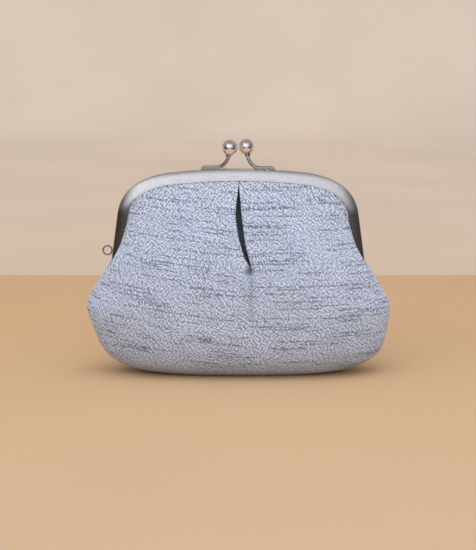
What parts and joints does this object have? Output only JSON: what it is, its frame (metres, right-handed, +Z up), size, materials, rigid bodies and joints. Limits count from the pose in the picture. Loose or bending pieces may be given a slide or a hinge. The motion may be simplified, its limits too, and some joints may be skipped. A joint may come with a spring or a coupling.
{
  "type": "squeeze coin purse",
  "caption": "Small cloth purse with a hinged metal frame mouth that closes with two crossed ball clasps, a soft rounded pouch and a strap ring on one leg.",
  "frame": {"origin": "centre of the base, on the surface that the closed purse stands on", "axes": "+X to the right along the mouth, seen from the side with the clasp's front; -Y is that front; +Z up"},
  "size_m": [0.1446, 0.044, 0.1115],
  "materials": {
    "rail_nickel": "nickel-plated folded sheet, satin",
    "ball_nickel": "bright nickel, polished",
    "rivet_nickel": "bright nickel rivet",
    "clasp_nickel": "bright nickel wire, soldered",
    "paper_cord": "twisted paper, matt",
    "outer_cloth": "blue-grey slub cotton with fused interlining",
    "lining_cloth": "plain off-white cotton"
  },
  "bodies": {
    "pouch": {"front_cloth_lower": "outer_cloth", "rear_cloth_lower": "outer_cloth", "front_lining_lower": "lining_cloth", "rear_lining_lower": "lining_cloth", "left_hinge_rivet": "rivet_nickel", "right_hinge_rivet": "rivet_nickel"},
    "front_frame": {"front_rail": "rail_nickel", "front_clasp_arm": "clasp_nickel", "front_clasp_collar": "clasp_nickel", "front_clasp_ball": "ball_nickel", "front_paper_cord": "paper_cord", "front_cloth_upper": "outer_cloth", "front_lining_upper": "lining_cloth"},
    "rear_frame": {"rear_rail": "rail_nickel", "rear_clasp_arm": "clasp_nickel", "rear_clasp_collar": "clasp_nickel", "rear_clasp_ball": "ball_nickel", "rear_paper_cord": "paper_cord", "rear_cloth_upper": "outer_cloth", "rear_lining_upper": "lining_cloth", "strap_ring": "clasp_nickel"}
  },
  "joints": [
    {"name": "front_frame_open", "type": "hinge", "parent": "pouch", "child": "front_frame", "pos_m": [0, 0, 0.0465], "axis": [1, 0, 0], "range_deg": [0, 40]},
    {"name": "rear_frame_open", "type": "hinge", "parent": "pouch", "child": "rear_frame", "pos_m": [0, 0, 0.0465], "axis": [1, 0, 0], "range_deg": [-40, 0]}
  ],
  "couplings": [
    {"joint": "rear_frame_open", "follows": "front_frame_open", "ratio": -1}
  ]
}
